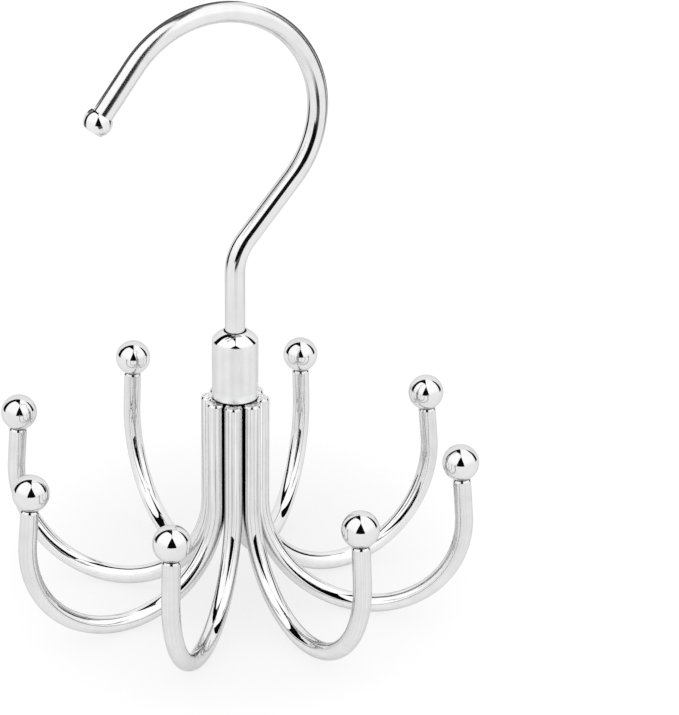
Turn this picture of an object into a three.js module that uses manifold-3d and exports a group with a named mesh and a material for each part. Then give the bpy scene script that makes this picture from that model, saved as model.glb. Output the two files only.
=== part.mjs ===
// Rotating belt hanger: a bent hook wire that turns in a domed collar, and eight
// J-shaped wire arms that hang in a ring under the collar, each with a ball on its end.
// Millimetres, +Z up along the swivel axis, origin on that axis at the level of the arms' lowest points.

import * as THREE from "three";
import { mergeVertices } from "three/addons/utils/BufferGeometryUtils.js";
import Module from "manifold-3d";

// ---------------------------------------------------------------- driving dimensions

// Arms
const ARM_COUNT = 8;
const ARM_WIRE_R = 2.2; // wire radius
const ARM_PITCH_R = 6.1; // radius of the ring on which the straight legs stand
const ARM_FIRST_LEG_DEG = -2.0; // azimuth of the first leg, the others follow clockwise seen from above
const ARM_TOP_Z = 54.8; // cut tops of the legs, just under the collar
const ARM_BEND_R = 25.4; // centreline radius of the half-circle bend
const ARM_LEAN_DEG = 5.1; // how far the upturned end leans back towards the axis
const ARM_END_RUN = 9.1; // straight run between the bend and the ball
// Each arm was set by hand in the ring, so its plane, its lean and its length differ a little from its neighbours'.
const ARM_TURN_DEG = [-11.2, -11.1, -12.2, -11.4, -13.8, -14.2, -15.1, -12.1];
const ARM_LEAN_TRIM_DEG = [-0.2, -0.1, -0.4, 0.2, -0.5, -0.1, -0.9, 0.6];
const ARM_RUN_TRIM = [0.4, 0.0, -0.2, -0.3, 0.45, 0.3, -0.45, -0.3];
const TENON_R = 1.2; // turned-down end of the wire, inside the ball
const TENON_LEN = 3.0;

// Arm end balls
const BALL_R = 4.45;
const BALL_SEAT = 4.1; // from the ball's centre to the wire's shoulder
const BALL_SEAT_GAP = 0.12; // seam between the shoulder and the ball's small flat
const BALL_HOLE_R = 1.5; // blind hole for the tenon
const BALL_HOLE_DEPTH = 3.3;

// Collar
const COLLAR_R = 5.6;
const COLLAR_BOTTOM_Z = 55.1;
const COLLAR_SHOULDER_Z = 69.3; // where the straight wall turns into the shoulder
const COLLAR_SHOULDER_R = 1.4; // small round of the shoulder
const COLLAR_SHOULDER_DEG = 40; // how far the shoulder turns before the dome takes over
const COLLAR_RIM_R = 2.9; // where the dome meets the rim of the hole
const COLLAR_RIM_DEG = 65; // slope of the dome's normal at the rim
const COLLAR_HOLE_R = 2.75; // clearance hole for the shank
const COLLAR_CAVITY_R = 4.3;
const COLLAR_CEILING_Z = 68.2; // inner shoulder that carries the load

// Thrust washer
const WASHER_R = 4.0;
const WASHER_Z = 67.1;
const WASHER_T = 0.8;

// Core stem
const STEM_R = 3.5;
const STEM_FOOT_Z = 29.0;
const STEM_PLUG_R = 4.0;
const STEM_PLUG_Z = 55.05;
const STEM_TOP_Z = 62.6;

// Hook
const HOOK_WIRE_R = 2.45;
const HOOK_YAW_DEG = 27.1; // azimuth of the side to which the shank is kicked out
const HOOK_HEAD_R = 3.75; // upset head that hangs in the collar
const HOOK_HEAD_BOTTOM_Z = 64.1;
const HOOK_HEAD_TOP_Z = 66.8;
const HOOK_BEND_Z = 87.0; // end of the straight shank
const HOOK_BEND_R = 12.0;
const HOOK_KICK_DEG = 41.5; // how far the diagonal leans from the shank
const HOOK_DIAGONAL = 18.0;
const HOOK_LOOP_R = 25.9; // centreline radius of the rod loop
const HOOK_LOOP_DEG = 184.0;
const HOOK_TIP_RUN = 13.7; // straight run between the loop and the bead

// Hook tip bead
const BEAD_R = 3.42;
const BEAD_OFFSET = 1.2; // from the end of the straight run to the bead's centre
const BEAD_FLAT = 2.6; // from the bead's centre to its flattened end
const BEAD_HOLE_R = 2.75;
const BEAD_HOLE_FLOOR = 0.3; // past the bead's centre
const BEAD_WIRE_END = 0.0; // the wire's end, past the bead's centre

// Facets
const ARM_SIDES = 12;
const ARM_BEND_STEPS = 20;
const HOOK_SIDES = 12;
const HOOK_LOOP_STEPS = 30;
const HOOK_BEND_STEPS = 6;
const BALL_SIDES = 16;
const BALL_ROWS = 9;
const COLLAR_SIDES = 28;

// ---------------------------------------------------------------- helpers

const wasm = await Module();
wasm.setup();

const rad = THREE.MathUtils.degToRad;

// A regular polygon of this many sides with corners at this radius has the circle's own mean radius.
const corner = (r, sides) => (r * 2) / (1 + Math.cos(Math.PI / sides));

function signedVolume(g) {
  const p = g.getAttribute("position"),
    i = g.index.array,
    a = new THREE.Vector3(),
    b = new THREE.Vector3(),
    c = new THREE.Vector3();
  let v = 0;
  for (let k = 0; k < i.length; k += 3) {
    a.fromBufferAttribute(p, i[k]);
    b.fromBufferAttribute(p, i[k + 1]);
    c.fromBufferAttribute(p, i[k + 2]);
    v += a.dot(b.cross(c)) / 6;
  }
  return v;
}

// A closed geometry with its vertices merged and its faces pointing out.
function closed(geometry) {
  const g = geometry.clone();
  g.deleteAttribute("normal");
  g.deleteAttribute("uv");
  const merged = mergeVertices(g, 1e-4);
  // Lathe profiles that meet the axis leave triangles of no area there.
  const src = merged.index.array,
    kept = [];
  for (let k = 0; k < src.length; k += 3) {
    const [a, b, c] = [src[k], src[k + 1], src[k + 2]];
    if (a !== b && b !== c && c !== a) kept.push(a, b, c);
  }
  merged.setIndex(kept);
  merged.clearGroups();
  if (signedVolume(merged) < 0) {
    for (let k = 0; k < kept.length; k += 3)
      [kept[k + 1], kept[k + 2]] = [kept[k + 2], kept[k + 1]];
    merged.setIndex(kept);
  }
  return merged;
}

function toSolid(geometry) {
  const g = closed(geometry);
  return new wasm.Manifold(
    new wasm.Mesh({
      numProp: 3,
      vertProperties: new Float32Array(g.getAttribute("position").array),
      triVerts: new Uint32Array(g.index.array),
    }),
  );
}

function toGeometry(solid) {
  const m = solid.getMesh(),
    v = new Float32Array(m.numVert * 3);
  for (let k = 0; k < m.numVert; k++)
    v.set(m.vertProperties.subarray(k * m.numProp, k * m.numProp + 3), k * 3);
  const g = new THREE.BufferGeometry();
  g.setAttribute("position", new THREE.BufferAttribute(v, 3));
  g.setIndex(new THREE.BufferAttribute(new Uint32Array(m.triVerts), 1));
  g.computeVertexNormals();
  return g;
}

const join = (...geometries) =>
  toGeometry(geometries.map(toSolid).reduce((a, b) => a.add(b)));

// A turned piece about +Z from a profile of [radius, height] pairs.
function turned(profile, sides) {
  const g = new THREE.LatheGeometry(
    profile.map(([r, z]) => new THREE.Vector2(r, z)),
    sides,
  );
  g.rotateX(Math.PI / 2);
  const out = closed(g);
  out.computeVertexNormals();
  return out;
}

// A wire bent in the XZ plane out of straight runs and arcs, with one section at each knot.
class WirePath extends THREE.Curve {
  constructor(x, z, headingDeg) {
    super();
    this.x = x;
    this.z = z;
    this.heading = rad(headingDeg);
    this.knots = [];
    this.mark();
  }
  mark() {
    this.knots.push({
      p: new THREE.Vector3(this.x, 0, this.z),
      t: new THREE.Vector3(Math.cos(this.heading), 0, Math.sin(this.heading)),
    });
    return this;
  }
  run(length) {
    this.x += length * Math.cos(this.heading);
    this.z += length * Math.sin(this.heading);
    return this.mark();
  }
  // Positive degrees turn to the left of the heading, seen with +X to the right and +Z up.
  bend(radius, degrees, steps) {
    const side = Math.sign(degrees),
      cx = this.x - side * radius * Math.sin(this.heading),
      cz = this.z + side * radius * Math.cos(this.heading),
      from = this.heading;
    for (let k = 1; k <= steps; k++) {
      this.heading = from + (rad(degrees) * k) / steps;
      this.x = cx + side * radius * Math.sin(this.heading);
      this.z = cz - side * radius * Math.cos(this.heading);
      this.mark();
    }
    return this;
  }
  at(u) {
    const s = u * (this.knots.length - 1),
      k = Math.min(Math.round(s), this.knots.length - 1);
    return this.knots[k];
  }
  getPoint(u, target = new THREE.Vector3()) {
    return target.copy(this.at(u).p);
  }
  getPointAt(u, target) {
    return this.getPoint(u, target);
  }
  getTangentAt(u, target = new THREE.Vector3()) {
    return target.copy(this.at(u).t);
  }
  wire(radius, sides) {
    const r = corner(radius, sides),
      section = new THREE.Shape();
    for (let k = 0; k < sides; k++) {
      const a = (2 * Math.PI * k) / sides;
      if (k === 0) section.moveTo(r * Math.cos(a), r * Math.sin(a));
      else section.lineTo(r * Math.cos(a), r * Math.sin(a));
    }
    section.closePath();
    return new THREE.ExtrudeGeometry(section, {
      extrudePath: this,
      steps: this.knots.length - 1,
      bevelEnabled: false,
    });
  }
}

const chrome = () =>
  new THREE.MeshStandardMaterial({ color: 0xd9dbde, roughness: 0.06, metalness: 1 });
const plated = () =>
  new THREE.MeshStandardMaterial({ color: 0xb9bcc0, roughness: 0.25, metalness: 1 });

function named(name, geometry, material) {
  const mesh = new THREE.Mesh(geometry, material);
  mesh.name = name;
  return mesh;
}

// ---------------------------------------------------------------- hook

function hookPath() {
  return new WirePath(0, HOOK_HEAD_BOTTOM_Z + 1, 90)
    .run(HOOK_BEND_Z - HOOK_HEAD_BOTTOM_Z - 1)
    .bend(HOOK_BEND_R, -HOOK_KICK_DEG, HOOK_BEND_STEPS)
    .run(HOOK_DIAGONAL)
    .bend(HOOK_LOOP_R, HOOK_LOOP_DEG, HOOK_LOOP_STEPS)
    .run(HOOK_TIP_RUN + BEAD_OFFSET + BEAD_WIRE_END);
}

function topHook() {
  const head = turned(
    [
      [0, HOOK_HEAD_BOTTOM_Z],
      [HOOK_HEAD_R - 0.9, HOOK_HEAD_BOTTOM_Z],
      [HOOK_HEAD_R, HOOK_HEAD_BOTTOM_Z + 0.9],
      [HOOK_HEAD_R, HOOK_HEAD_TOP_Z],
      [0, HOOK_HEAD_TOP_Z],
    ],
    24,
  );
  return join(hookPath().wire(HOOK_WIRE_R, HOOK_SIDES), head);
}

// A ball about +Z with its centre at the origin, cut flat at low and high, with a blind hole from below.
function drilledBall(r, low, high, holeR, floorZ, sides, rows) {
  const R = corner(r, sides),
    from = Math.asin(Math.max(-1, low / R)),
    to = Math.asin(Math.min(1, high / R)),
    profile = [];
  profile.push([0, floorZ], [corner(holeR, sides), floorZ], [corner(holeR, sides), low]);
  for (let k = 0; k <= rows; k++) {
    const a = from + ((to - from) * k) / rows;
    profile.push([k === rows && to > 1.57 ? 0 : R * Math.cos(a), R * Math.sin(a)]);
  }
  if (to <= 1.57) profile.push([0, high]);
  return turned(profile, sides);
}

// ---------------------------------------------------------------- collar and its inner pieces

function swivelCollar() {
  const R = corner(COLLAR_R, COLLAR_SIDES),
    hole = corner(COLLAR_HOLE_R, COLLAR_SIDES),
    cavity = corner(COLLAR_CAVITY_R, COLLAR_SIDES),
    rim = corner(COLLAR_RIM_R, COLLAR_SIDES),
    profile = [
      [cavity, COLLAR_BOTTOM_Z],
      [R - 0.25, COLLAR_BOTTOM_Z],
      [R, COLLAR_BOTTOM_Z + 0.25],
    ],
    // One arc of the profile, with its normal turning up between two slopes.
    arc = (cr, cz, radius, from, to, steps) => {
      for (let k = 0; k <= steps; k++) {
        const n = from + ((to - from) * k) / steps;
        profile.push([cr + radius * Math.cos(n), cz + radius * Math.sin(n)]);
      }
    },
    turn = rad(COLLAR_SHOULDER_DEG),
    end = rad(COLLAR_RIM_DEG);
  arc(R - COLLAR_SHOULDER_R, COLLAR_SHOULDER_Z, COLLAR_SHOULDER_R, 0, turn, 4);
  const [r1, z1] = profile.pop(),
    domeR = (r1 - rim) / (Math.cos(turn) - Math.cos(end));
  arc(r1 - domeR * Math.cos(turn), z1 - domeR * Math.sin(turn), domeR, turn, end, 3);
  profile.push(
    [hole, profile.at(-1)[1] - 0.15],
    [hole, COLLAR_CEILING_Z],
    [cavity, COLLAR_CEILING_Z],
    [cavity, COLLAR_BOTTOM_Z],
  );
  return turned(profile, COLLAR_SIDES);
}

function thrustWasher() {
  const hole = corner(COLLAR_HOLE_R, COLLAR_SIDES);
  return turned(
    [
      [hole, WASHER_Z],
      [WASHER_R, WASHER_Z],
      [WASHER_R, WASHER_Z + WASHER_T],
      [hole, WASHER_Z + WASHER_T],
      [hole, WASHER_Z],
    ],
    COLLAR_SIDES,
  );
}

function coreStem() {
  return turned(
    [
      [0, STEM_FOOT_Z],
      [STEM_R - 0.5, STEM_FOOT_Z],
      [STEM_R, STEM_FOOT_Z + 0.5],
      [STEM_R, STEM_PLUG_Z],
      [STEM_PLUG_R, STEM_PLUG_Z],
      [STEM_PLUG_R, STEM_TOP_Z - 0.4],
      [STEM_PLUG_R - 0.4, STEM_TOP_Z],
      [0, STEM_TOP_Z],
    ],
    24,
  );
}

// ---------------------------------------------------------------- arms

// The arm in its own frame: the leg on the local Z axis, the bend in the local XZ plane.
function armPath(k) {
  return new WirePath(0, ARM_TOP_Z, -90)
    .run(ARM_TOP_Z - ARM_WIRE_R - ARM_BEND_R)
    .bend(ARM_BEND_R, 180 + ARM_LEAN_DEG + ARM_LEAN_TRIM_DEG[k], ARM_BEND_STEPS)
    .run(ARM_END_RUN + ARM_RUN_TRIM[k]);
}

// Places a piece turned about +Z at the end of a wire path, pointing along it.
function alignToEnd(object, path, beyond) {
  const { p, t } = path.knots[path.knots.length - 1];
  object.position.copy(p).addScaledVector(t, beyond);
  object.quaternion.setFromUnitVectors(new THREE.Vector3(0, 0, 1), t);
  return object;
}

function arm(k) {
  const path = armPath(k),
    tenon = turned(
      [
        [0, -1],
        [corner(TENON_R, ARM_SIDES), -1],
        [corner(TENON_R, ARM_SIDES), TENON_LEN],
        [0, TENON_LEN],
      ],
      ARM_SIDES,
    ),
    place = alignToEnd(new THREE.Object3D(), path, 0);
  place.updateMatrix();
  tenon.applyMatrix4(place.matrix);
  return join(path.wire(ARM_WIRE_R, ARM_SIDES), tenon);
}

function armBall() {
  const seat = -BALL_SEAT + BALL_SEAT_GAP;
  return drilledBall(
    BALL_R,
    seat,
    BALL_R * 2,
    BALL_HOLE_R,
    seat + BALL_HOLE_DEPTH,
    BALL_SIDES,
    BALL_ROWS,
  );
}

// ---------------------------------------------------------------- assembly

const hanger = new THREE.Group();

const hook = new THREE.Group();
hook.rotation.z = rad(HOOK_YAW_DEG);
hook.add(named("top_hook", topHook(), chrome()));
const beadLow = -Math.sqrt(corner(BEAD_R, BALL_SIDES) ** 2 - (corner(BEAD_HOLE_R, BALL_SIDES) + 0.1) ** 2);
const bead = named(
  "hook_tip_ball",
  drilledBall(BEAD_R, beadLow, BEAD_FLAT, BEAD_HOLE_R, BEAD_HOLE_FLOOR, BALL_SIDES, BALL_ROWS),
  chrome(),
);
alignToEnd(bead, hookPath(), -BEAD_WIRE_END);
hook.add(bead);
hanger.add(hook);

hanger.add(named("thrust_washer", thrustWasher(), plated()));
hanger.add(named("swivel_collar", swivelCollar(), chrome()));
hanger.add(named("core_stem", coreStem(), plated()));

for (let k = 0; k < ARM_COUNT; k++) {
  const legAz = rad(ARM_FIRST_LEG_DEG - (360 / ARM_COUNT) * k),
    group = new THREE.Group();
  group.position.set(ARM_PITCH_R * Math.cos(legAz), ARM_PITCH_R * Math.sin(legAz), 0);
  group.rotation.z = legAz + rad(ARM_TURN_DEG[k]);
  group.add(named(`arm_${k + 1}`, arm(k), chrome()));
  const ball = named(`arm_ball_${k + 1}`, armBall(), chrome());
  alignToEnd(ball, armPath(k), BALL_SEAT);
  group.add(ball);
  hanger.add(group);
}

export default hanger;
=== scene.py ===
"""Rotating belt hanger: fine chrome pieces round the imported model, a pale floor and a soft white light tent."""

import math

import bpy
import mathutils
from mathutils import Matrix, Vector


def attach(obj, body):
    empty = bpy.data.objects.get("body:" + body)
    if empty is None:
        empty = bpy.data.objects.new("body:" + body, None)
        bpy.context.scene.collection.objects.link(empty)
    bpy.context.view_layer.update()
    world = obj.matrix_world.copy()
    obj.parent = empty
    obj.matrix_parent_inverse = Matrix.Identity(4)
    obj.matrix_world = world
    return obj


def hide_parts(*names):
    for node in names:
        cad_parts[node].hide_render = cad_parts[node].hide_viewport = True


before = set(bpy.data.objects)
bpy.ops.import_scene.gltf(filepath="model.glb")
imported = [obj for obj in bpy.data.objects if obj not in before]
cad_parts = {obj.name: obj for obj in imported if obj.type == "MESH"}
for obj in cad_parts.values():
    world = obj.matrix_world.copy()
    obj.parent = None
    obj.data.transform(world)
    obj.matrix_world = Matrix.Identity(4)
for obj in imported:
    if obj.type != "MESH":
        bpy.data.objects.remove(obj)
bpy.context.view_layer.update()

MM = 0.001
TAU = 2.0 * math.pi
rad = math.radians

# ------------------------------------------------------------------ dimensions, millimetres

ARM_COUNT = 8
ARM_WIRE_R = 2.2
ARM_PITCH_R = 6.1
ARM_FIRST_LEG_DEG = -2.0
ARM_TOP_Z = 54.8
ARM_BEND_R = 25.4
ARM_LEAN_DEG = 5.1
ARM_END_RUN = 9.1
ARM_TURN_DEG = [-11.2, -11.1, -12.2, -11.4, -13.8, -14.2, -15.1, -12.1]
ARM_LEAN_TRIM_DEG = [-0.2, -0.1, -0.4, 0.2, -0.5, -0.1, -0.9, 0.6]
ARM_RUN_TRIM = [0.4, 0.0, -0.2, -0.3, 0.45, 0.3, -0.45, -0.3]
TENON_R = 1.2
TENON_LEN = 3.0
JOINT_LINE = 0.05

BALL_R = 4.45
BALL_SEAT = 4.1
BALL_SEAT_GAP = 0.12
BALL_HOLE_R = 1.5
BALL_HOLE_DEPTH = 3.3

COLLAR_R = 5.6
COLLAR_BOTTOM_Z = 55.1
COLLAR_SHOULDER_Z = 69.3
COLLAR_SHOULDER_R = 1.4
COLLAR_SHOULDER_DEG = 40.0
COLLAR_RIM_R = 2.9
COLLAR_RIM_DEG = 65.0
COLLAR_HOLE_R = 2.75
COLLAR_CAVITY_R = 4.3
COLLAR_CEILING_Z = 68.2

WASHER_R = 4.0
WASHER_Z = 67.1
WASHER_T = 0.8

STEM_R = 3.5
STEM_FOOT_Z = 29.0
STEM_PLUG_R = 4.0
STEM_PLUG_Z = 55.05
STEM_TOP_Z = 62.6

HOOK_WIRE_R = 2.45
HOOK_YAW_DEG = 27.1
HOOK_HEAD_R = 3.75
HOOK_HEAD_BOTTOM_Z = 64.1
HOOK_HEAD_TOP_Z = 66.8
HOOK_BEND_Z = 87.0
HOOK_BEND_R = 12.0
HOOK_KICK_DEG = 41.5
HOOK_DIAGONAL = 18.0
HOOK_LOOP_R = 25.9
HOOK_LOOP_DEG = 184.0
HOOK_TIP_RUN = 13.7

BEAD_R = 3.42
BEAD_OFFSET = 1.2
BEAD_FLAT = 2.6
BEAD_HOLE_R = 2.75
BEAD_HOLE_FLOOR = 0.3

# ------------------------------------------------------------------ mesh code


def profile(points, corner_steps=7, run_step=None):
    """A rounded open profile from (radius, axial, corner radius) points.

    Returns (radius, axial, normal radial, normal axial) rows; the normal lies to the right of the way
    the profile runs, so a profile that runs up the outside of a piece has its normals pointing out.
    """
    rows = []

    def put(r, a, nr, na):
        if rows and math.hypot(rows[-1][0] - r, rows[-1][1] - a) < 1e-7:
            return
        rows.append((r, a, nr, na))

    flat = []
    n = len(points)
    for i, (r, a, f) in enumerate(points):
        if 0 < i < n - 1 and f > 0:
            p0, p1, p2 = Vector(points[i - 1][:2]), Vector((r, a)), Vector(points[i + 1][:2])
            d0, d1 = (p1 - p0).normalized(), (p2 - p1).normalized()
            turn = math.atan2(d0.x * d1.y - d0.y * d1.x, d0.dot(d1))
            cut = f * abs(math.tan(turn / 2))
            side = 1.0 if turn > 0 else -1.0
            centre = p1 - d0 * cut + Vector((-d0.y, d0.x)) * (f * side)
            arc = []
            for k in range(corner_steps + 1):
                t = turn * k / corner_steps
                d = Vector((d0.x * math.cos(t) - d0.y * math.sin(t), d0.x * math.sin(t) + d0.y * math.cos(t)))
                q = centre + Vector((d.y, -d.x)) * (f * side)
                arc.append((q.x, q.y, d.y, -d.x))
            flat.append(arc)
        else:
            flat.append([(r, a, None, None)])
    for i, group in enumerate(flat):
        for j, (r, a, nr, na) in enumerate(group):
            if nr is None:
                other = flat[i + 1][0] if i + 1 < n else flat[i - 1][-1]
                d = Vector((other[0] - r, other[1] - a)) * (1.0 if i + 1 < n else -1.0)
                d.normalize()
                nr, na = d.y, -d.x
            if j == 0 and run_step and rows:
                r0, a0, nr0, na0 = rows[-1]
                length = math.hypot(r - r0, a - a0)
                parts = max(1, int(math.ceil(length / run_step)))
                for k in range(1, parts):
                    put(r0 + (r - r0) * k / parts, a0 + (a - a0) * k / parts, nr, na)
            put(r, a, nr, na)
    return rows


def skin(name, rings, sides, closed=False, warp=None):
    """A piece from rings of (centre, across, side, along, radius, normal radial, normal along, length), in mm.

    A first or last ring of no radius becomes a pole. The vertex normals are the surface's own.
    The map holds the way round and the way along, both in millimetres.
    warp takes a point in mm and gives its moved place, or None where the surface stays true.
    """
    verts, normals, start = [], [], []
    for c, n, b, t, r, nr, na, v in rings:
        start.append(len(verts))
        if r < 1e-6:
            verts.append(c * MM)
            normals.append(t * (1.0 if na > 0 else -1.0))
            continue
        for k in range(sides):
            w = TAU * k / sides
            out = n * math.cos(w) + b * math.sin(w)
            verts.append((c + out * r) * MM)
            normals.append((out * nr + t * na).normalized())
    size = max(r[4] for r in rings)
    faces, uvs = [], []
    count = len(rings)
    for i in range(count if closed else count - 1):
        j = (i + 1) % count
        ri, rj = rings[i], rings[j]
        vi, vj = ri[7], rj[7] if j else ri[7] + math.hypot((rj[0] - ri[0]).length, rj[4] - ri[4])
        for k in range(sides):
            l = (k + 1) % sides
            u0, u1 = TAU * size * k / sides, TAU * size * (k + 1) / sides
            um = (u0 + u1) / 2
            a = start[i] if ri[4] < 1e-6 else start[i] + k
            d = start[i] if ri[4] < 1e-6 else start[i] + l
            e = start[j] if rj[4] < 1e-6 else start[j] + k
            f = start[j] if rj[4] < 1e-6 else start[j] + l
            if a == d and e == f:
                continue
            if a == d:
                faces.append((a, f, e))
                uvs.append(((um, vi), (u1, vj), (u0, vj)))
            elif e == f:
                faces.append((a, d, e))
                uvs.append(((u0, vi), (u1, vi), (um, vj)))
            else:
                faces.append((a, d, f, e))
                uvs.append(((u0, vi), (u1, vi), (u1, vj), (u0, vj)))
    # The faces agree with the normals.
    p = [verts[q] for q in faces[len(faces) // 2]]
    way = (p[1] - p[0]).cross(p[2] - p[0])
    if way.dot(normals[faces[len(faces) // 2][0]] + normals[faces[len(faces) // 2][2]]) < 0:
        faces = [tuple(reversed(q)) for q in faces]
        uvs = [tuple(reversed(q)) for q in uvs]
    if warp:
        moved = {}
        for i, v in enumerate(verts):
            to = warp(v / MM)
            if to is not None:
                moved[i] = Vector((0, 0, 0))
                verts[i] = to * MM
        for q in faces:
            if any(i in moved for i in q):
                flat = (verts[q[2]] - verts[q[0]]).cross(verts[q[-1]] - verts[q[1]])
                if len(q) == 3:
                    flat = (verts[q[1]] - verts[q[0]]).cross(verts[q[2]] - verts[q[0]])
                for i in q:
                    if i in moved:
                        moved[i] += flat
        for i, way in moved.items():
            normals[i] = way.normalized() * (1.0 if way.dot(normals[i]) > 0 else -1.0)
    mesh = bpy.data.meshes.new(name)
    mesh.from_pydata(verts, [], faces)
    layer = mesh.uv_layers.new(name="UVMap")
    layer.data.foreach_set("uv", [x for q in uvs for uv in q for x in uv])
    mesh.polygons.foreach_set("use_smooth", [True] * len(faces))
    mesh.update()
    mesh.normals_split_custom_set_from_vertices(normals)
    mesh.validate()
    obj = bpy.data.objects.new(name, mesh)
    bpy.context.scene.collection.objects.link(obj)
    return obj


def turned_rings(rows, centre=Vector((0, 0, 0)), along=Vector((0, 0, 1)), across=Vector((1, 0, 0))):
    """Rings of a turned piece from profile rows, about an axis through centre."""
    side = along.cross(across)
    rings, v, last = [], 0.0, None
    for r, a, nr, na in rows:
        if last is not None:
            v += math.hypot(r - last[0], a - last[1])
        last = (r, a)
        rings.append((centre + along * a, across, side, along, r, nr, na, v))
    return rings


class Wire:
    """A wire's centreline out of straight runs and arcs, in the XZ plane of a placed frame."""

    def __init__(self, x, z, heading_deg, place):
        self.x, self.z, self.h = x, z, rad(heading_deg)
        self.place = place
        self.turn = place.to_3x3()
        self.s = 0.0
        self.knots = []
        self.mark()

    def mark(self):
        c = self.place @ Vector((self.x, 0, self.z))
        t = self.turn @ Vector((math.cos(self.h), 0, math.sin(self.h)))
        b = self.turn @ Vector((0, 1, 0))
        self.knots.append((c, b.cross(t), b, t, self.s))

    def run(self, length, step=2.5):
        parts = max(1, int(math.ceil(length / step)))
        for _ in range(parts):
            self.x += length / parts * math.cos(self.h)
            self.z += length / parts * math.sin(self.h)
            self.s += length / parts
            self.mark()
        return self

    def bend(self, radius, degrees, step_deg=2.2):
        side = 1.0 if degrees > 0 else -1.0
        cx = self.x - side * radius * math.sin(self.h)
        cz = self.z + side * radius * math.cos(self.h)
        start = self.h
        parts = max(2, int(math.ceil(abs(degrees) / step_deg)))
        for k in range(1, parts + 1):
            self.h = start + rad(degrees) * k / parts
            self.x = cx + side * radius * math.sin(self.h)
            self.z = cz - side * radius * math.cos(self.h)
            self.s += radius * abs(rad(degrees)) / parts
            self.mark()
        return self

    def rings(self, radius, start_rows, end_rows):
        """start_rows and end_rows are profile rows measured along the wire from its first and last knot."""
        out = []
        c, n, b, t, s = self.knots[0]
        for r, a, nr, na in start_rows:
            out.append((c + t * a, n, b, t, r, nr, na, s + a))
        s0 = s + start_rows[-1][1]
        c, n, b, t, s = self.knots[-1]
        s1 = s + end_rows[0][1]
        for kc, kn, kb, kt, ks in self.knots:
            if s0 + 0.05 < ks < s1 - 0.05:
                out.append((kc, kn, kb, kt, radius, 1.0, 0.0, ks))
        v = s1
        last = None
        for r, a, nr, na in end_rows:
            if last is not None:
                v += math.hypot(r - last[0], a - last[1])
            last = (r, a)
            out.append((c + t * a, n, b, t, r, nr, na, v))
        return out

    def end(self):
        return self.knots[-1]


# ------------------------------------------------------------------ materials


def nodes_of(name):
    mat = bpy.data.materials.new(name)
    mat.use_nodes = True
    tree = mat.node_tree
    tree.nodes.clear()
    out = tree.nodes.new("ShaderNodeOutputMaterial")
    bsdf = tree.nodes.new("ShaderNodeBsdfPrincipled")
    tree.links.new(bsdf.outputs["BSDF"], out.inputs["Surface"])
    return mat, tree, bsdf


def noise(tree, vector, scale, detail=3.0, rough=0.55):
    n = tree.nodes.new("ShaderNodeTexNoise")
    n.inputs["Scale"].default_value = scale
    n.inputs["Detail"].default_value = detail
    n.inputs["Roughness"].default_value = rough
    tree.links.new(vector, n.inputs["Vector"])
    return n.outputs["Fac"]


def mapped(tree, vector, scale):
    m = tree.nodes.new("ShaderNodeMapping")
    m.inputs["Scale"].default_value = scale
    tree.links.new(vector, m.inputs["Vector"])
    return m.outputs["Vector"]


def ramp(tree, fac, stops):
    r = tree.nodes.new("ShaderNodeValToRGB")
    while len(r.color_ramp.elements) < len(stops):
        r.color_ramp.elements.new(0.5)
    for e, (pos, col) in zip(r.color_ramp.elements, stops):
        e.position = pos
        e.color = (col[0], col[1], col[2], 1.0)
    tree.links.new(fac, r.inputs["Fac"])
    return r.outputs["Color"]


def span(tree, fac, lo, hi, to_lo, to_hi):
    m = tree.nodes.new("ShaderNodeMapRange")
    for key, value in (("From Min", lo), ("From Max", hi), ("To Min", to_lo), ("To Max", to_hi)):
        m.inputs[key].default_value = value
    tree.links.new(fac, m.inputs["Value"])
    return m.outputs["Result"]


def math_node(tree, op, a, b=None, clamp=False):
    m = tree.nodes.new("ShaderNodeMath")
    m.operation = op
    m.use_clamp = clamp
    for i, x in enumerate((a, b)):
        if x is None:
            continue
        if isinstance(x, (int, float)):
            m.inputs[i].default_value = x
        else:
            tree.links.new(x, m.inputs[i])
    return m.outputs["Value"]


def multiply(tree, colour, value):
    m = tree.nodes.new("ShaderNodeVectorMath")
    m.operation = "SCALE"
    tree.links.new(colour, m.inputs[0])
    tree.links.new(value, m.inputs["Scale"])
    return m.outputs["Vector"]


def bump(tree, height, strength, below=None):
    b = tree.nodes.new("ShaderNodeBump")
    b.inputs["Strength"].default_value = strength
    b.inputs["Distance"].default_value = 0.00002
    tree.links.new(height, b.inputs["Height"])
    if below is not None:
        tree.links.new(below, b.inputs["Normal"])
    return b.outputs["Normal"]


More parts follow.
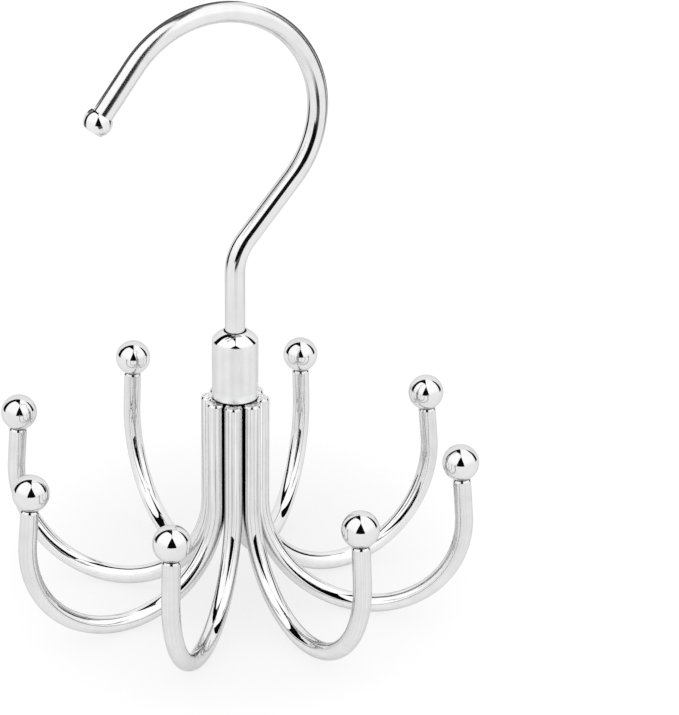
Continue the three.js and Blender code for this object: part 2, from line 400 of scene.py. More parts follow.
def chrome(
    name, lines, line_bump, gloss, streak=0.0, satin_below=None, cut_above=None, painted_gap_shade=None, drawn_legs=None, rubbed=None,
    foot=None, edge=0.70, tone=0.575, grain=0.10, dull=0.03,
):
    """Plated chrome: lines from drawing or turning, a little unevenness of the plate and of its gloss.

    lines is the scale of the lines across and along the piece's map, per millimetre.
    gloss is the roughness of the best and of the poorest plate. streak darkens the base along the lines.
    satin_below is (height, roughness): the piece is brushed below that height, in metres.
    cut_above is the height, in metres, above which the sawn end of a wire shows, thinly plated and pitted.
    crevice is (height, top, near, far): painted shade: between those heights the base colour is darkened almost to
    black from the distance far to the distance near from the upright axis, where the gaps between the wires fall into
    shade; just outside it a painted highlight makes the plate the brightest.
    drawn_legs is (height, reach, rest): the lines are full above that height and within that reach of the upright
    axis, and keep only that rest of their depth elsewhere, where the bent wire was polished again.
    rubbed is (low, high, roughness): above those heights the gloss has been rubbed off by that much.
    foot is (low, high, gain, roughness): painted light: the base colour is brightened or darkened by gain at the low
    height, standing in for the brighter or dimmer light there, and the roughness changes by that much; it is even from
    the high one up.
    grain is the depth of the plate's fine unevenness, and dull how much duller the lines are.
    """
    mat, tree, bsdf = nodes_of(name)
    tone = (tone * 1.005, tone * 1.005, tone * 1.006)
    coord = tree.nodes.new("ShaderNodeTexCoord")
    uv, at = coord.outputs["UV"], coord.outputs["Object"]
    mm = mapped(tree, at, (1000.0, 1000.0, 1000.0))
    drawn = noise(tree, mapped(tree, uv, (lines[0], lines[1], 1.0)), 1.0, 2.0, 0.6)
    if drawn_legs:
        axis = mapped(tree, at, (1.0, 1.0, 0.0))
        off = tree.nodes.new("ShaderNodeVectorMath")
        off.operation = "LENGTH"
        tree.links.new(axis, off.inputs[0])
        high = tree.nodes.new("ShaderNodeSeparateXYZ")
        tree.links.new(at, high.inputs["Vector"])
        leg = math_node(
            tree, "MULTIPLY", span(tree, high.outputs["Z"], drawn_legs[0], drawn_legs[0] + 0.014, 0.0, 1.0),
            span(tree, off.outputs["Value"], drawn_legs[1], drawn_legs[1] + 0.003, 1.0, 0.0),
        )
        depth = span(tree, leg, 0.0, 1.0, drawn_legs[2], 1.0)
        drawn = math_node(tree, "ADD", math_node(tree, "MULTIPLY", math_node(tree, "SUBTRACT", drawn, 0.5), depth), 0.5)
    cloud = noise(tree, mm, 0.22, 3.0, 0.55)
    fine = noise(tree, mm, 2.6, 2.0, 0.5)
    dark = tuple(c * 0.955 for c in tone)
    lite = tuple(min(1.0, c * 1.03) for c in tone)
    colour = ramp(tree, cloud, [(0.3, dark), (0.5, tone), (0.72, lite)])
    rough = math_node(
        tree, "ADD", span(tree, cloud, 0.3, 0.75, gloss[0], gloss[1]), span(tree, drawn, 0.35, 0.75, 0.0, dull)
    )
    if streak:
        colour = multiply(tree, colour, span(tree, drawn, 0.30, 0.60, 1.0 - streak, 1.0 + 0.3 * streak))
    if rubbed:
        high = tree.nodes.new("ShaderNodeSeparateXYZ")
        tree.links.new(at, high.inputs["Vector"])
        rough = math_node(tree, "ADD", rough, span(tree, high.outputs["Z"], rubbed[0], rubbed[1], 0.0, rubbed[2]))
    normal = bump(tree, fine, grain, bump(tree, drawn, line_bump))
    if satin_below:
        high = tree.nodes.new("ShaderNodeSeparateXYZ")
        tree.links.new(at, high.inputs["Vector"])
        more = span(tree, high.outputs["Z"], satin_below[0], satin_below[0] + 0.0004, satin_below[1], 0.0)
        rough = math_node(tree, "ADD", rough, more)
    # Painted light: the base colour is brighter or darker towards the bottom of the piece.
    if foot:
        high = tree.nodes.new("ShaderNodeSeparateXYZ")
        tree.links.new(at, high.inputs["Vector"])
        colour = multiply(tree, colour, span(tree, high.outputs["Z"], foot[0], foot[1], foot[2], 1.0))
        rough = math_node(tree, "ADD", rough, span(tree, high.outputs["Z"], foot[0], foot[1], foot[3], 0.0))
    if cut_above:
        high = tree.nodes.new("ShaderNodeSeparateXYZ")
        tree.links.new(at, high.inputs["Vector"])
        cut = span(tree, high.outputs["Z"], cut_above, cut_above + 0.0003, 0.0, 1.0)
        pits = noise(tree, mm, 1.5, 4.0, 0.65)
        bare = span(tree, pits, 0.41, 0.47, 0.02, 1.5)
        colour = multiply(tree, colour, math_node(tree, "ADD", 1.0, math_node(tree, "MULTIPLY", cut, math_node(tree, "SUBTRACT", bare, 1.0))))
        rough = math_node(tree, "ADD", rough, math_node(tree, "MULTIPLY", cut, span(tree, pits, 0.35, 0.5, 0.20, 0.03)))
        normal = bump(tree, math_node(tree, "MULTIPLY", cut, math_node(tree, "MULTIPLY", pits, 5.0)), 0.8, normal)
    # Painted shade in the gaps between the wires, and a painted highlight just outside it.
    if painted_gap_shade:
        axis = mapped(tree, at, (1.0, 1.0, 0.0))
        off = tree.nodes.new("ShaderNodeVectorMath")
        off.operation = "LENGTH"
        tree.links.new(axis, off.inputs[0])
        high = tree.nodes.new("ShaderNodeSeparateXYZ")
        tree.links.new(at, high.inputs["Vector"])
        up = span(tree, high.outputs["Z"], painted_gap_shade[0], painted_gap_shade[0] + 0.006, 0.0, 1.0)
        up = math_node(tree, "MULTIPLY", up, span(tree, high.outputs["Z"], painted_gap_shade[1] - 0.0004, painted_gap_shade[1], 1.0, 0.0))
        deep = span(tree, off.outputs["Value"], painted_gap_shade[2], painted_gap_shade[3], 0.97, 0.0)
        colour = multiply(tree, colour, math_node(tree, "SUBTRACT", 1.0, math_node(tree, "MULTIPLY", up, deep)))
        painted_gap_highlight = span(tree, off.outputs["Value"], painted_gap_shade[3] + 0.0002, painted_gap_shade[3] + 0.0007, 0.3, 0.0)
        colour = multiply(tree, colour, math_node(tree, "ADD", 1.0, math_node(tree, "MULTIPLY", up, painted_gap_highlight)))
    tree.links.new(colour, bsdf.inputs["Base Color"])
    tree.links.new(rough, bsdf.inputs["Roughness"])
    tree.links.new(normal, bsdf.inputs["Normal"])
    bsdf.inputs["Metallic"].default_value = 1.0
    bsdf.inputs["Specular Tint"].default_value = (edge, edge, edge, 1.0)
    return mat


def dull_steel(name):
    """Bare inner steel with turning lines; its near-black mottled colour is painted shade, for the dark inside the wire
    bundle and the collar.
    """
    mat, tree, bsdf = nodes_of(name)
    coord = tree.nodes.new("ShaderNodeTexCoord")
    uv, at = coord.outputs["UV"], coord.outputs["Object"]
    lines = noise(tree, mapped(tree, uv, (0.06, 7.0, 1.0)), 1.0, 3.0, 0.6)
    dark_mottle = noise(tree, mapped(tree, at, (1000.0, 1000.0, 1000.0)), 0.35, 4.0, 0.6)
    # Painted shade: a near-black mottled base colour.
    tree.links.new(
        ramp(tree, dark_mottle, [(0.3, (0.02, 0.019, 0.018)), (0.55, (0.045, 0.044, 0.042)), (0.8, (0.09, 0.088, 0.085))]),
        bsdf.inputs["Base Color"],
    )
    tree.links.new(span(tree, lines, 0.3, 0.75, 0.28, 0.48), bsdf.inputs["Roughness"])
    bsdf.inputs["Metallic"].default_value = 1.0
    tree.links.new(bump(tree, lines, 0.5), bsdf.inputs["Normal"])
    return mat


WIRE_CHROME = chrome(
    # Painted shade between the wires near the upright axis, with a painted highlight beside it.
    "wire_chrome", (3.2, 0.012), 0.55, (0.006, 0.016), streak=0.42, cut_above=0.05455, painted_gap_shade=(0.018, 0.0542, 0.00642, 0.00652),
    # Painted highlight: the lowest bends are brightened, as they reflect the floor in the object's shade.
    drawn_legs=(0.022, 0.0086, 0.2), foot=(0.004, 0.022, 1.15, 0.0), grain=0.01, dull=0.012,
)
HOOK_CHROME = chrome(
    # Painted shade: the hook's shank below 80 mm is made a little darker.
    "hook_wire_chrome", (2.6, 0.02), 0.10, (0.05, 0.075), streak=0.04, rubbed=(0.118, 0.136, 0.11), foot=(0.08, 0.09, 0.945, 0.0),
    edge=0.6, tone=0.585, grain=0.05,
)
BEAD_CHROME = chrome("bead_chrome", (0.35, 0.35), 0.08, (0.02, 0.05), tone=0.6)
BALL_CHROME = chrome("ball_chrome_fine", (0.35, 0.35), 0.08, (0.015, 0.035))
COLLAR_CHROME = chrome(
    # Painted highlight: the collar's foot is brightened.
    "collar_chrome_fine", (0.5, 0.02), 0.02, (0.02, 0.04), streak=0.02, satin_below=(0.0694, 0.32), foot=(0.055, 0.0572, 1.42, 0.2), tone=0.602
)
INNER_STEEL = dull_steel("inner_dull_steel")


def dress(obj, material, body, slot, *nodes):
    obj.data.materials.append(material)
    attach(obj, body)
    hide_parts(*nodes)
    return obj


# ------------------------------------------------------------------ arms and their balls


def arm_place(k):
    az = rad(ARM_FIRST_LEG_DEG - 45.0 * k)
    return Matrix.Translation((ARM_PITCH_R * math.cos(az), ARM_PITCH_R * math.sin(az), 0)) @ Matrix.Rotation(
        az + rad(ARM_TURN_DEG[k]), 4, "Z"
    )


def sawn_end(k):
    """The uneven sawn face at the top of an arm, never higher than the arm's own top."""

    def warp(p):
        if p.z < ARM_TOP_Z - 0.35:
            return None
        near = (p.z - (ARM_TOP_Z - 0.35)) / 0.35
        bumps = mathutils.noise.noise(Vector((p.x * 0.9 + 31.0 * k, p.y * 0.9, 4.0)))
        grit = mathutils.noise.noise(Vector((p.x * 2.7, p.y * 2.7 + 17.0 * k, 9.0)))
        return p - Vector((0, 0, near * max(0.0, 0.10 + 0.16 * bumps + 0.08 * grit)))

    return warp


for k in range(ARM_COUNT):
    wire = Wire(0, ARM_TOP_Z, -90, arm_place(k))
    wire.run(ARM_TOP_Z - ARM_WIRE_R - ARM_BEND_R)
    wire.bend(ARM_BEND_R, 180 + ARM_LEAN_DEG + ARM_LEAN_TRIM_DEG[k])
    wire.run(ARM_END_RUN + ARM_RUN_TRIM[k])
    R = ARM_WIRE_R
    top = profile([(0, 0, 0), (R - 0.3, 0, 0.12), (R, 0.6, 0.25), (R, 1.4, 0)], 8, 0.3)
    foot = profile(
        [
            (R, -1.6, 0),
            (R, -JOINT_LINE - 0.5, 0.25),
            (R - 0.25, -JOINT_LINE, 0.08),
            (TENON_R, -JOINT_LINE, 0.12),
            (TENON_R, TENON_LEN, 0.3),
            (0, TENON_LEN, 0),
        ]
    )
    piece = skin("arm_wire_%d" % (k + 1), wire.rings(R, top, foot), 44, warp=sawn_end(k))
    dress(piece, WIRE_CHROME, "carousel", "arm_chrome", "arm_%d" % (k + 1))

    c, n, b, t, s = wire.end()
    seat = -BALL_SEAT + BALL_SEAT_GAP
    rows = profile(
        [(0, seat + BALL_HOLE_DEPTH, 0), (BALL_HOLE_R, seat + BALL_HOLE_DEPTH, 0.15), (BALL_HOLE_R, seat + 0.2, 0)], 4
    )
    rows += [(BALL_HOLE_R + 0.03, seat + 0.05, -0.7, -0.7), (BALL_HOLE_R + 0.08, seat, 0.0, -1.0)]
    low = math.asin(seat / BALL_R)
    edge = low + rad(2.0)
    rows.append((BALL_R * math.cos(low) - 0.06, seat, 0.0, -1.0))
    for j in range(49):
        a = edge + (math.pi / 2 - edge) * j / 48
        rows.append((0.0 if j == 48 else BALL_R * math.cos(a), BALL_R * math.sin(a), math.cos(a), math.sin(a)))
    piece = skin("arm_end_ball_%d" % (k + 1), turned_rings(rows, c + t * BALL_SEAT, t, n), 72)
    dress(piece, BALL_CHROME, "carousel", "ball_chrome", "arm_ball_%d" % (k + 1))

# ------------------------------------------------------------------ collar, stem and washer

rows = profile(
    [
        (COLLAR_CAVITY_R, COLLAR_CEILING_Z, 0),
        (COLLAR_CAVITY_R, COLLAR_BOTTOM_Z - 0.12, 0.12),
        (COLLAR_R, COLLAR_BOTTOM_Z - 0.12, 0.16),
        (COLLAR_R, COLLAR_SHOULDER_Z, 0),
    ],
    8,
    1.2,
)


def arc_rows(cr, ca, radius, first, last, steps):
    for j in range(1, steps + 1):
        w = rad(first + (last - first) * j / steps)
        rows.append((cr + radius * math.cos(w), ca + radius * math.sin(w), math.cos(w), math.sin(w)))
    return rows[-1][0], rows[-1][1]


r1, z1 = arc_rows(
    COLLAR_R - COLLAR_SHOULDER_R, COLLAR_SHOULDER_Z, COLLAR_SHOULDER_R, 0, COLLAR_SHOULDER_DEG, 14
)
cos_rim, sin_rim = math.cos(rad(COLLAR_RIM_DEG)), math.sin(rad(COLLAR_RIM_DEG))
cos_sh, sin_sh = math.cos(rad(COLLAR_SHOULDER_DEG)), math.sin(rad(COLLAR_SHOULDER_DEG))
crown = (r1 - COLLAR_RIM_R) / (cos_sh - cos_rim)
r2, z2 = arc_rows(r1 - crown * cos_sh, z1 - crown * sin_sh, crown, COLLAR_SHOULDER_DEG, COLLAR_RIM_DEG, 22)
lip = (COLLAR_RIM_R - COLLAR_HOLE_R) / (1.0 + cos_rim)
r3, z3 = arc_rows(r2 - lip * cos_rim, z2 - lip * sin_rim, lip, COLLAR_RIM_DEG, 180, 8)
rows += profile(
    [
        (COLLAR_HOLE_R, z3 - 0.3, 0),
        (COLLAR_HOLE_R, COLLAR_CEILING_Z, 0.15),
        (COLLAR_CAVITY_R - 0.3, COLLAR_CEILING_Z, 0),
    ],
    4,
)
piece = skin("collar_sleeve", turned_rings(rows), 112, closed=True)
dress(piece, COLLAR_CHROME, "carousel", "collar_chrome", "swivel_collar")

rows = profile(
    [
        (0, STEM_FOOT_Z, 0),
        (STEM_R, STEM_FOOT_Z, 0.5),
        (STEM_R, STEM_PLUG_Z, 0.1),
        (STEM_PLUG_R, STEM_PLUG_Z, 0.12),
        (STEM_PLUG_R, STEM_TOP_Z, 0.4),
        (0, STEM_TOP_Z, 0),
    ],
    6,
    3.0,
)
piece = skin("core_pin", turned_rings(rows), 64)
dress(piece, INNER_STEEL, "carousel", "inner_steel", "core_stem")

mid = WASHER_Z + WASHER_T / 2
rows = profile(
    [
        (COLLAR_HOLE_R, mid, 0),
        (COLLAR_HOLE_R, WASHER_Z, 0.15),
        (WASHER_R, WASHER_Z, 0.15),
        (WASHER_R, WASHER_Z + WASHER_T, 0.15),
        (COLLAR_HOLE_R, WASHER_Z + WASHER_T, 0.15),
        (COLLAR_HOLE_R, mid + 0.02, 0),
    ],
    5,
)
piece = skin("bearing_washer", turned_rings(rows), 72, closed=True)
dress(piece, INNER_STEEL, "hook", "inner_steel", "thrust_washer")

# ------------------------------------------------------------------ hook and its bead

R = HOOK_WIRE_R
wire = Wire(0, HOOK_HEAD_BOTTOM_Z, 90, Matrix.Rotation(rad(HOOK_YAW_DEG), 4, "Z"))
wire.run(HOOK_BEND_Z - HOOK_HEAD_BOTTOM_Z)
wire.bend(HOOK_BEND_R, -HOOK_KICK_DEG, 2.0)
wire.run(HOOK_DIAGONAL)
wire.bend(HOOK_LOOP_R, HOOK_LOOP_DEG, 1.8)
wire.run(HOOK_TIP_RUN + BEAD_OFFSET)
head_h = HOOK_HEAD_TOP_Z - HOOK_HEAD_BOTTOM_Z
first = profile(
    [
        (0, 0, 0),
        (HOOK_HEAD_R, 0, 0.9),
        (HOOK_HEAD_R, head_h, 0.25),
        (R, head_h, 0.2),
        (R, head_h + 1.0, 0),
    ]
)
last = profile([(R, -1.2, 0), (R, 0, 0.35), (0, 0, 0)])
piece = skin("hook_wire", wire.rings(R, first, last), 60)
dress(piece, HOOK_CHROME, "hook", "hook_chrome", "top_hook")

c, n, b, t, s = wire.end()
mouth = -math.sqrt(BEAD_R**2 - (BEAD_HOLE_R + 0.1) ** 2)
rows = profile(
    [(0, BEAD_HOLE_FLOOR, 0), (BEAD_HOLE_R, BEAD_HOLE_FLOOR, 0.15), (BEAD_HOLE_R, mouth + 0.12, 0)], 4
)
rows.append((BEAD_HOLE_R + 0.03, mouth + 0.03, -0.6, -0.8))
low = math.asin(mouth / BEAD_R)
fil = 0.7
hi = math.asin((BEAD_FLAT - fil) / (BEAD_R - fil))
for j in range(25):
    a = low + (hi - low) * j / 24
    rows.append((BEAD_R * math.cos(a), BEAD_R * math.sin(a), math.cos(a), math.sin(a)))
cr, ca = (BEAD_R - fil) * math.cos(hi), BEAD_FLAT - fil
for j in range(1, 9):
    a = hi + (math.pi / 2 - hi) * j / 8
    rows.append((cr + fil * math.cos(a), ca + fil * math.sin(a), math.cos(a), math.sin(a)))
rows.append((0.0, BEAD_FLAT, 0.0, 1.0))
piece = skin("hook_end_bead", turned_rings(rows, c, t, n), 72)
dress(piece, BEAD_CHROME, "hook", "hook_chrome", "hook_tip_ball")

# ------------------------------------------------------------------ floor, light tent and camera


FRONT_SHEETS = 1.68
FRONT_FOOT = 1.38
BACK_SHEET = 1.36


def floor():
    half, cells = 6.0, 8
    verts, faces = [], []
    for j in range(cells + 1):
        for i in range(cells + 1):
            verts.append((-half + 2 * half * i / cells, -half + 2 * half * j / cells, -0.00015))
    for j in range(cells):
        for i in range(cells):
            a = j * (cells + 1) + i
            faces.append((a, a + 1, a + cells + 2, a + cells + 1))
    mesh = bpy.data.meshes.new("floor")
    mesh.from_pydata(verts, [], faces)
    mesh.update()
    obj = bpy.data.objects.new("floor", mesh)
    bpy.context.scene.collection.objects.link(obj)
    mat, tree, bsdf = nodes_of("floor_white")
    coord = tree.nodes.new("ShaderNodeTexCoord")
    grain = noise(tree, coord.outputs["Object"], 900.0, 2.0, 0.5)
    tree.links.new(ramp(tree, grain, [(0.3, (0.517, 0.517, 0.517)), (0.7, (0.523, 0.523, 0.523))]), bsdf.inputs["Base Color"])
    bsdf.inputs["Roughness"].default_value = 0.9
    bsdf.inputs["Specular IOR Level"].default_value = 0.05
    # The sheet glows by its own emission, which fills in the shade under the object as the chrome sees it; to the
    # camera it shows a painted round shade, with only a faint real shadow from its weak diffuse part.
    bsdf.inputs["Emission Color"].default_value = (1.0, 1.0, 1.0, 1.0)
    bsdf.inputs["Emission Strength"].default_value = 0.565
    place = tree.nodes.new("ShaderNodeMapping")
    place.inputs["Location"].default_value = (0.0, -0.02 / 0.074, 0.0)
    place.inputs["Scale"].default_value = (1 / 0.054, 1 / 0.074, 0.0)
    tree.links.new(coord.outputs["Object"], place.inputs["Vector"])
    far = tree.nodes.new("ShaderNodeVectorMath")
    far.operation = "LENGTH"
    tree.links.new(place.outputs["Vector"], far.inputs[0])
    # Painted shadow: a round shade of emission about a point just behind the object, seen by the camera alone.
    painted_round_shade = ramp(
        tree, math_node(tree, "MULTIPLY", far.outputs["Value"], 0.5),
        [(0.5 * at, (v, v, v)) for at, v in
         ((0.0, 0.785), (0.3, 0.795), (0.6, 0.815), (0.85, 0.84), (1.0, 0.862), (1.15, 0.888), (1.4, 0.92))],
    )
    sheet = tree.nodes.new("ShaderNodeEmission")
    tree.links.new(painted_round_shade, sheet.inputs["Color"])
    skin_of = tree.nodes.new("ShaderNodeBsdfDiffuse")
    skin_of.inputs["Color"].default_value = (0.085, 0.085, 0.085, 1.0)
    both = tree.nodes.new("ShaderNodeAddShader")
    tree.links.new(sheet.outputs["Emission"], both.inputs[0])
    tree.links.new(skin_of.outputs["BSDF"], both.inputs[1])
    path = tree.nodes.new("ShaderNodeLightPath")
    pick = tree.nodes.new("ShaderNodeMixShader")
    tree.links.new(path.outputs["Is Camera Ray"], pick.inputs["Fac"])
    tree.links.new(bsdf.outputs["BSDF"], pick.inputs[1])
    tree.links.new(both.outputs["Shader"], pick.inputs[2])
    end = next(n for n in tree.nodes if n.type == "OUTPUT_MATERIAL")
    tree.links.new(pick.outputs["Shader"], end.inputs["Surface"])
    mat.cycles.emission_sampling = "NONE"
    mesh.materials.append(mat)


def tent():
    """A white tent of soft light: bright front and roof, and a paler back."""
    world = bpy.data.worlds.new("light_tent")
    bpy.context.scene.world = world
    world.use_nodes = True
    tree = world.node_tree
    tree.nodes.clear()

    def m(op, a, b=None, clamp=False):
        return math_node(tree, op, a, b, clamp)

    def step(value, at, soft):
        """0 below, 1 above."""
        return m("ADD", m("DIVIDE", m("SUBTRACT", value, at), soft), 0.5, True)

    coord = tree.nodes.new("ShaderNodeTexCoord")
    split = tree.nodes.new("ShaderNodeSeparateXYZ")
    tree.links.new(coord.outputs["Generated"], split.inputs["Vector"])
    x, y, z = split.outputs["X"], split.outputs["Y"], split.outputs["Z"]

    h = m("SQRT", m("ADD", m("ADD", m("MULTIPLY", x, x), m("MULTIPLY", z, z)), 1e-5))
    s, xp = m("DIVIDE", y, h), m("DIVIDE", x, h)

    def along_arch(stops):
        """A value that changes from the left foot of the arch, -1, to its right foot, 1."""
        return ramp(tree, m("ADD", m("MULTIPLY", xp, 0.5), 0.5), [((at + 1) / 2, (v, v, v)) for at, v in stops])

    # The front sheets and the paler back sheet meet along an arch over the top.
    s0 = along_arch([(-1, 0.33), (-0.6, 0.32), (-0.35, 0.31), (0.0, 0.36), (0.2, 0.42), (0.5, 0.42), (0.7, 0.385), (1, 0.37)])
    back = step(s, s0, 0.05)
    front = span(tree, z, 0.0, 0.4, FRONT_FOOT, FRONT_SHEETS)
    light = m("ADD", front, m("MULTIPLY", back, m("SUBTRACT", BACK_SHEET, front)))

    path = tree.nodes.new("ShaderNodeLightPath")
    mix = tree.nodes.new("ShaderNodeMix")
    mix.data_type = "FLOAT"
    tree.links.new(path.outputs["Is Camera Ray"], mix.inputs["Factor"])
    tree.links.new(light, mix.inputs["A"])
    mix.inputs["B"].default_value = 1.0
    shade = tree.nodes.new("ShaderNodeBackground")
    shade.inputs["Color"].default_value = (1.0, 1.0, 1.0, 1.0)
    tree.links.new(mix.outputs["Result"], shade.inputs["Strength"])
    out = tree.nodes.new("ShaderNodeOutputWorld")
    tree.links.new(shade.outputs["Background"], out.inputs["Surface"])


def card(name, verts, faces, glow, cover=None):
    """A dark part of the tent that only shows in the chrome. cover gives how dense it is, from its own coordinates."""
    mesh = bpy.data.meshes.new(name)
    mesh.from_pydata(verts, [], faces)
    mesh.update()
    obj = bpy.data.objects.new(name, mesh)
    bpy.context.scene.collection.objects.link(obj)
    mat = bpy.data.materials.new(name)
    mat.use_nodes = True
    tree = mat.node_tree
    tree.nodes.clear()
    out = tree.nodes.new("ShaderNodeOutputMaterial")
    shade = tree.nodes.new("ShaderNodeEmission")
    shade.inputs["Color"].default_value = (1.0, 1.0, 1.0, 1.0)
    shade.inputs["Strength"].default_value = glow
    surface = shade.outputs["Emission"]
    if cover:
        clear = tree.nodes.new("ShaderNodeBsdfTransparent")
        mix = tree.nodes.new("ShaderNodeMixShader")
        tree.links.new(cover(tree), mix.inputs["Fac"])
        tree.links.new(clear.outputs["BSDF"], mix.inputs[1])
        tree.links.new(surface, mix.inputs[2])
        surface = mix.outputs["Shader"]
    tree.links.new(surface, out.inputs["Surface"])
    mat.cycles.emission_sampling = "NONE"
    mesh.materials.append(mat)
    obj.visible_camera = False
    obj.visible_diffuse = False
    obj.visible_shadow = False
    return obj


def between(stops, at):
    """A value read off a row of (place, value) stops."""
    for (p0, v0), (p1, v1) in zip(stops, stops[1:]):
        if at <= p1:
            return v0 + (v1 - v0) * max(0.0, at - p0) / (p1 - p0)
    return stops[-1][1]


def roof_gaps():
    """The dark gaps of the tent's roof: the arch between front and back sheets, and the seam that runs to it."""
    reach = 0.7
    low_left = [(-1, 0.06), (-0.97, 0.09), (-0.9, 0.105), (-0.8, 0.135), (-0.6, 0.165), (-0.38, 0.165), (-0.32, 0.12),
                (-0.26, 0.06), (-0.16, -0.04), (-0.09, -0.13), (-0.02, -0.23), (0.02, -0.29), (0.05, -0.31)]
    high_left = [(-1, 0.56), (-0.97, 0.55), (-0.9, 0.52), (-0.8, 0.49), (-0.6, 0.465), (-0.36, 0.455), (-0.01, 0.455),
                 (0.02, 0.37), (0.03, 0.1), (0.04, -0.1), (0.05, -0.28)]
    low_right = [(0.46, 0.405), (0.56, 0.345), (0.6, 0.315), (0.7, 0.275), (0.8, 0.245), (0.9, 0.205), (0.97, 0.185), (1, 0.185)]
    high_right = [(0.46, 0.425), (0.56, 0.455), (0.6, 0.465), (0.7, 0.485), (0.8, 0.505), (0.9, 0.525), (0.97, 0.54), (1, 0.54)]
    verts, faces = [], []

    def strip(rows):
        for j, (xp0, lo, xp1, hi) in enumerate(rows):
            for xp, level in ((xp0, lo), (xp1, hi)):
                verts.append((reach * xp, reach * level, reach * math.sqrt(max(0.0, 1.0 - xp * xp))))
            if j:
                n = len(verts)
                faces.append((n - 4, n - 3, n - 1, n - 2))

    for lo, hi in ((low_left, high_left), (low_right, high_right)):
        first, last = lo[0][0], lo[-1][0]
        a0, a1 = math.asin(first), math.asin(last)
        rows = []
        for j in range(73):
            xp = min(last, max(first, math.sin(a0 + (a1 - a0) * j / 72)))
            rows.append((xp, between(lo, xp), xp, between(hi, xp)))
        strip(rows)
    strip([(0.034, -0.27 - 0.05 * j, 0.058, -0.27 - 0.05 * j) for j in range(10)])
    card("tent_roof_gaps", verts, faces, 0.004)


def front_gap():
    """The dark gap between the tent's front sheets, above a pale sill."""
    reach = 0.40
    left = [(0.105, -0.38), (0.2, -0.36), (0.4, -0.315), (0.6, -0.25), (0.8, -0.19), (1.0, -0.13), (1.2, -0.075),
            (1.4, -0.025), (1.6, 0.02), (1.95, 0.085)]
    right = [(0.105, 0.50), (0.2, 0.49), (0.4, 0.44), (0.6, 0.38), (0.8, 0.33), (1.0, 0.285), (1.2, 0.245), (1.4, 0.205),
             (1.6, 0.165), (1.95, 0.1)]
    verts, faces = [], []
    for j in range(41):
        h = 0.105 + (1.95 - 0.105) * j / 40
        verts += [(reach * between(left, h), -reach, reach * h), (reach * between(right, h), -reach, reach * h)]
        if j:
            n = len(verts)
            faces.append((n - 4, n - 3, n - 1, n - 2))
    card("tent_front_gap", verts, faces, 0.003)


def table_shade():
    """Painted shade on the table: a dark sheet just above the floor, seen from above by the hook alone, in front and at
    the two feet of the arch.
    """

    def cover(tree):
        def m(op, a, b=None, clamp=False):
            return math_node(tree, op, a, b, clamp)

        coord = tree.nodes.new("ShaderNodeTexCoord")
        split = tree.nodes.new("ShaderNodeSeparateXYZ")
        tree.links.new(coord.outputs["Object"], split.inputs["Vector"])
        x, y = split.outputs["X"], split.outputs["Y"]
        ax, ay = m("ADD", m("ABSOLUTE", x), 0.001), m("ADD", m("ABSOLUTE", y), 0.001)
        depth = ramp(
            tree, m("MULTIPLY", y, -1.0),
            [(at, (v, v, v)) for at, v in
             ((0.0, 0.0), (0.05, 0.0), (0.08, 0.09), (0.105, 0.15), (0.118, 0.3), (0.13, 0.7), (0.145, 0.97), (0.19, 0.97), (0.22, 0.85), (0.26, 0.85), (0.3, 0.98))],
        )
        front = m("MULTIPLY", depth, span(tree, m("ABSOLUTE", m("SUBTRACT", m("DIVIDE", x, ay), 0.24)), 0.28, 0.36, 1.0, 0.0))
        out = m("SQRT", m("ADD", m("MULTIPLY", x, x), m("MULTIPLY", y, y)))
        reach = ramp(
            tree, out, [(at, (v, v, v)) for at, v in ((0.0, 0.0), (0.06, 0.0), (0.1, 0.26), (0.15, 0.5), (0.21, 0.95))]
        )
        along = m("DIVIDE", y, ax)
        left = m("MULTIPLY", span(tree, x, 0.0, -0.01, 0.0, 1.0), span(tree, m("ABSOLUTE", m("SUBTRACT", along, 0.34)), 0.18, 0.36, 1.0, 0.0))
        right = m("MULTIPLY", span(tree, x, 0.0, 0.01, 0.0, 1.0), span(tree, m("ABSOLUTE", m("SUBTRACT", along, 0.44)), 0.15, 0.36, 0.75, 0.0))
        side = tree.nodes.new("ShaderNodeNewGeometry")
        seen = m("SUBTRACT", 1.0, side.outputs["Backfacing"])
        return m("MULTIPLY", seen, m("MAXIMUM", front, m("MULTIPLY", reach, m("ADD", left, right))))

    e, z = 0.9, 0.05
    card("tent_table_shade", [(-e, -e, z), (e, -e, z), (e, e, z), (-e, e, z)], [(0, 1, 2, 3)], 0.003, cover)


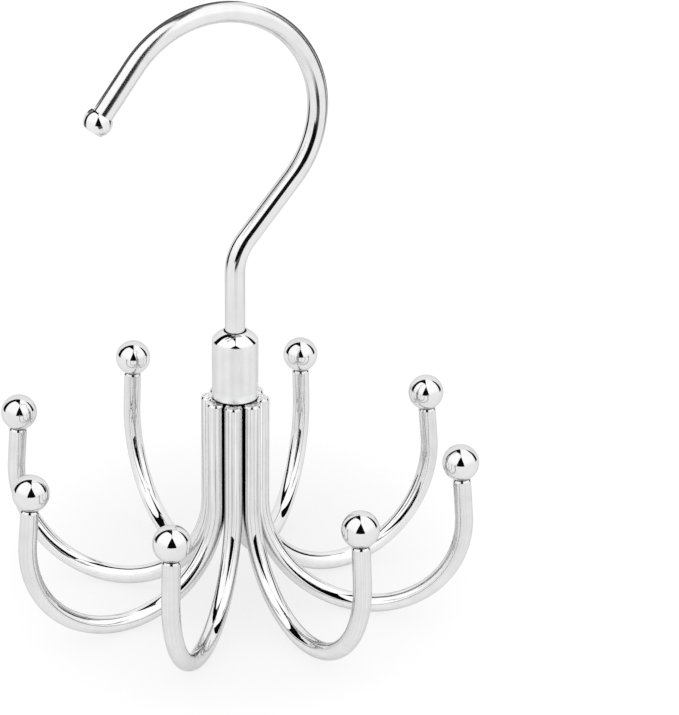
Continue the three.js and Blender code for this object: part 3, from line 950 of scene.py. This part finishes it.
def hook_flags():
    """Two narrow grey flags close behind the top of the hook, seen only by reflections shorter than their limit: a
    painted dark reflection, which gives the hook's bright wire a dark outline.
    """
    back = Vector((0.0, math.cos(rad(24.0)), -math.sin(rad(24.0))))
    yaw = Matrix.Rotation(rad(HOOK_YAW_DEG), 3, "Z")
    centre = Vector((-4.458, 0, 125.59))
    gap = 12.0

    def flag(name, stops, glow, limit):
        """stops are (degrees round the loop, how wide the flag is for its distance); past the loop's end it runs straight."""
        loop_end = HOOK_LOOP_DEG - HOOK_KICK_DEG
        verts, faces = [], []
        first, last = stops[0][0], stops[-1][0]
        for j in range(61):
            w = first + (last - first) * j / 60
            a = rad(min(w, loop_end))
            out = Vector((math.cos(a), 0, math.sin(a)))
            p = centre + out * HOOK_LOOP_R
            if w > loop_end:
                p += Vector((-math.sin(a), 0, math.cos(a))) * (rad(w - loop_end) * HOOK_LOOP_R)
            out, p = yaw @ out, yaw @ p
            flat = (out - back * out.dot(back)).normalized()
            inner = p + flat * (HOOK_WIRE_R - 0.3) + back * gap
            outer = inner + flat * (gap * between(stops, w))
            verts += [inner * MM, outer * MM]
            if j:
                n = len(verts)
                faces.append((n - 4, n - 3, n - 1, n - 2))

        def cover(tree):
            path = tree.nodes.new("ShaderNodeLightPath")
            return span(tree, path.outputs["Ray Length"], limit - 0.015, limit, 1.0, 0.0)

        card(name, verts, faces, glow, cover)

    flag("hook_flag_right", [(-4.0, 0.4), (8.0, 1.2), (20.0, 2.6), (34.0, 3.2), (46.0, 3.0), (58.0, 1.6), (68.0, 0.4)], 0.2, 0.06)
    flag("hook_flag_left", [(76.0, 0.4), (84.0, 3.0), (94.0, 7.0), (118.0, 7.0), (134.0, 4.0), (162.0, 2.6), (168.0, 1.0)], 0.17, 0.1)


floor()
tent()
roof_gaps()
front_gap()
table_shade()
hook_flags()

PIXELS = (679, 715)
FOCAL_PX = 3022.6
cam = bpy.data.cameras.new("camera")
cam.sensor_fit = "AUTO"
cam.sensor_width = 36.0
cam.lens = FOCAL_PX * 36.0 / max(PIXELS)
cam.clip_start = 0.01
cam.clip_end = 50.0
eye = bpy.data.objects.new("camera", cam)
bpy.context.scene.collection.objects.link(eye)
eye.matrix_world = (
    Matrix.Translation((0.02500, -0.66172, 0.35891))
    @ Matrix.Rotation(rad(90.0 - 23.932), 4, "X")
    @ Matrix.Rotation(rad(0.773), 4, "Z")
)
bpy.context.scene.camera = eye

view = bpy.context.scene.view_settings
view.view_transform = "Standard"
view.look = "None"
view.exposure = 0.0
view.gamma = 1.0
